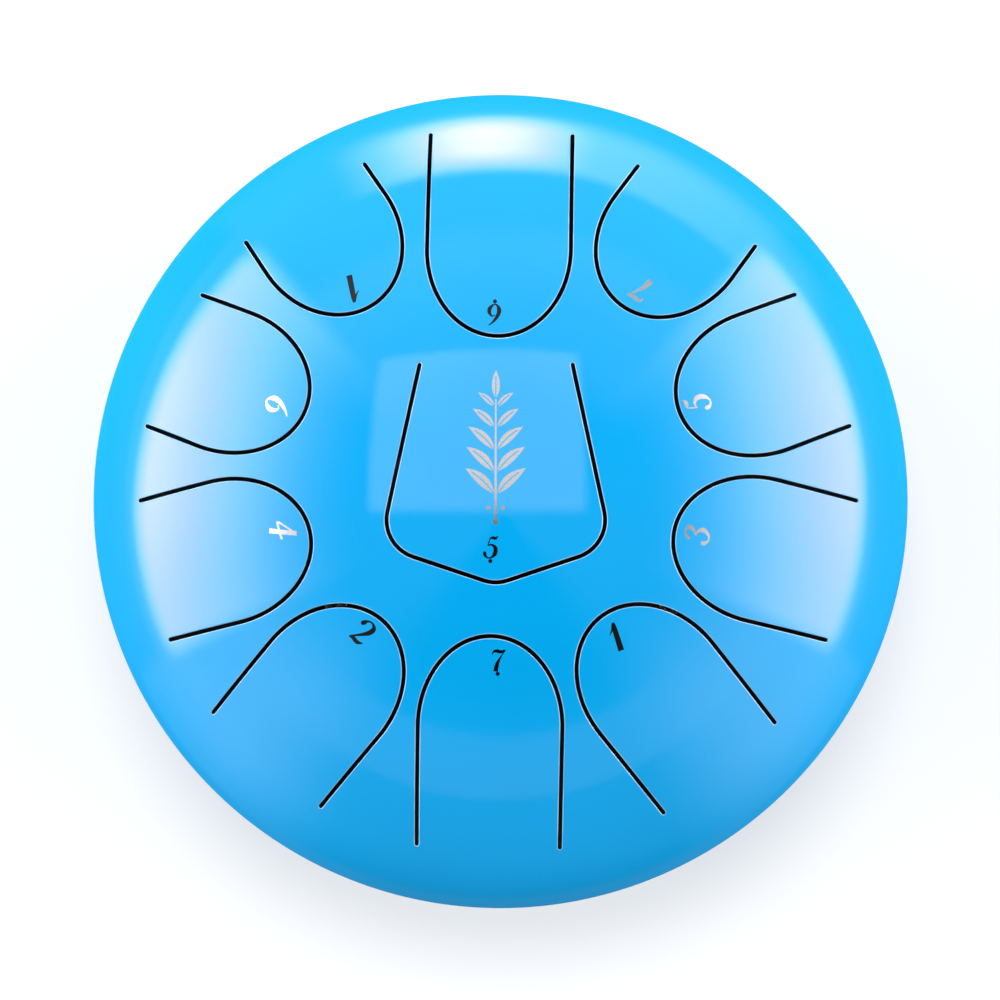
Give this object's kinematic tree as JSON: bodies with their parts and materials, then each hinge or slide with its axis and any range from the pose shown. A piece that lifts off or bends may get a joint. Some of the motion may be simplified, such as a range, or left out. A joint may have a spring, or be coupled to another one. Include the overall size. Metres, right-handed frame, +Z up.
{
  "type": "steel tongue drum",
  "caption": "Closed lens-shaped steel drum with slotted sprung tongues around and in the middle of its upper dome, a sound hole below and rubber feet.",
  "frame": {"origin": "on the table plane, under the drum's vertical axis; the three foot bases lie in this plane", "axes": "+Z up the drum's axis, +Y towards the low 6 tongue, +X to the right when the middle tongue's digit reads upright"},
  "size_m": [0.3036, 0.3036, 0.156],
  "materials": {
    "enamel": "gloss sky-blue enamel on pressed sheet steel",
    "etched_steel": "bare satin steel where the enamel is burnt away",
    "rubber": "matt moulded black rubber",
    "zinc_steel": "bright zinc plating"
  },
  "bodies": {
    "drum_body": {"top_shell": "enamel", "bottom_shell": "enamel", "rim_weld": "enamel", "foot_rear": "rubber", "foot_left": "rubber", "foot_right": "rubber", "foot_washer_rear": "zinc_steel", "screw_rear": "zinc_steel", "inner_washer_rear": "zinc_steel", "nut_rear": "zinc_steel", "foot_washer_left": "zinc_steel", "screw_left": "zinc_steel", "inner_washer_left": "zinc_steel", "nut_left": "zinc_steel", "foot_washer_right": "zinc_steel", "screw_right": "zinc_steel", "inner_washer_right": "zinc_steel", "nut_right": "zinc_steel"},
    "tongue_low_5": {"tongue_low_5": "enamel"},
    "tongue_low_6": {"tongue_low_6": "enamel"},
    "tongue_low_7": {"tongue_low_7": "enamel"},
    "tongue_1": {"tongue_1": "enamel"},
    "tongue_2": {"tongue_2": "enamel"},
    "tongue_3": {"tongue_3": "enamel"},
    "tongue_4": {"tongue_4": "enamel"},
    "tongue_5": {"tongue_5": "enamel"},
    "tongue_6": {"tongue_6": "enamel"},
    "tongue_7": {"tongue_7": "enamel"},
    "tongue_high_1": {"tongue_high_1": "enamel"}
  },
  "joints": [
    {"name": "tongue_low_5_bend", "type": "hinge", "parent": "drum_body", "child": "tongue_low_5", "pos_m": [0, 0.0457, 0.15116], "axis": [1, 0, 0], "range_deg": [-0.5, 0.5], "stiffness_Nm_per_rad": 40},
    {"name": "tongue_low_6_bend", "type": "hinge", "parent": "drum_body", "child": "tongue_low_6", "pos_m": [0.00117, 0.13346, 0.11493], "axis": [1, -0.0087, 0], "range_deg": [-0.5, 0.5], "stiffness_Nm_per_rad": 34},
    {"name": "tongue_low_7_bend", "type": "hinge", "parent": "drum_body", "child": "tongue_low_7", "pos_m": [-0.00339, -0.12934, 0.11847], "axis": [-0.9997, 0.0262, 0], "range_deg": [-0.5, 0.5], "stiffness_Nm_per_rad": 31},
    {"name": "tongue_1_bend", "type": "hinge", "parent": "drum_body", "child": "tongue_1", "pos_m": [0.08142, -0.10055, 0.11847], "axis": [-0.7771, -0.6293, 0], "range_deg": [-0.5, 0.5], "stiffness_Nm_per_rad": 24},
    {"name": "tongue_2_bend", "type": "hinge", "parent": "drum_body", "child": "tongue_2", "pos_m": [-0.08488, -0.09765, 0.11847], "axis": [-0.7547, 0.6561, 0], "range_deg": [-0.5, 0.5], "stiffness_Nm_per_rad": 21},
    {"name": "tongue_3_bend", "type": "hinge", "parent": "drum_body", "child": "tongue_3", "pos_m": [0.12632, -0.028, 0.11847], "axis": [-0.2164, -0.9763, 0], "range_deg": [-0.5, 0.5], "stiffness_Nm_per_rad": 18},
    {"name": "tongue_4_bend", "type": "hinge", "parent": "drum_body", "child": "tongue_4", "pos_m": [-0.12632, -0.028, 0.11847], "axis": [-0.2164, 0.9763, 0], "range_deg": [-0.5, 0.5], "stiffness_Nm_per_rad": 15},
    {"name": "tongue_5_bend", "type": "hinge", "parent": "drum_body", "child": "tongue_5", "pos_m": [0.11954, 0.04951, 0.11847], "axis": [0.3827, -0.9239, 0], "range_deg": [-0.5, 0.5], "stiffness_Nm_per_rad": 13},
    {"name": "tongue_6_bend", "type": "hinge", "parent": "drum_body", "child": "tongue_6", "pos_m": [-0.11954, 0.04951, 0.11847], "axis": [0.3827, 0.9239, 0], "range_deg": [-0.5, 0.5], "stiffness_Nm_per_rad": 11},
    {"name": "tongue_7_bend", "type": "hinge", "parent": "drum_body", "child": "tongue_7", "pos_m": [0.07328, 0.10663, 0.11847], "axis": [0.8241, -0.5664, 0], "range_deg": [-0.5, 0.5], "stiffness_Nm_per_rad": 7.5},
    {"name": "tongue_high_1_bend", "type": "hinge", "parent": "drum_body", "child": "tongue_high_1", "pos_m": [-0.07141, 0.10789, 0.11847], "axis": [0.8339, 0.5519, 0], "range_deg": [-0.5, 0.5], "stiffness_Nm_per_rad": 7.5}
  ]
}
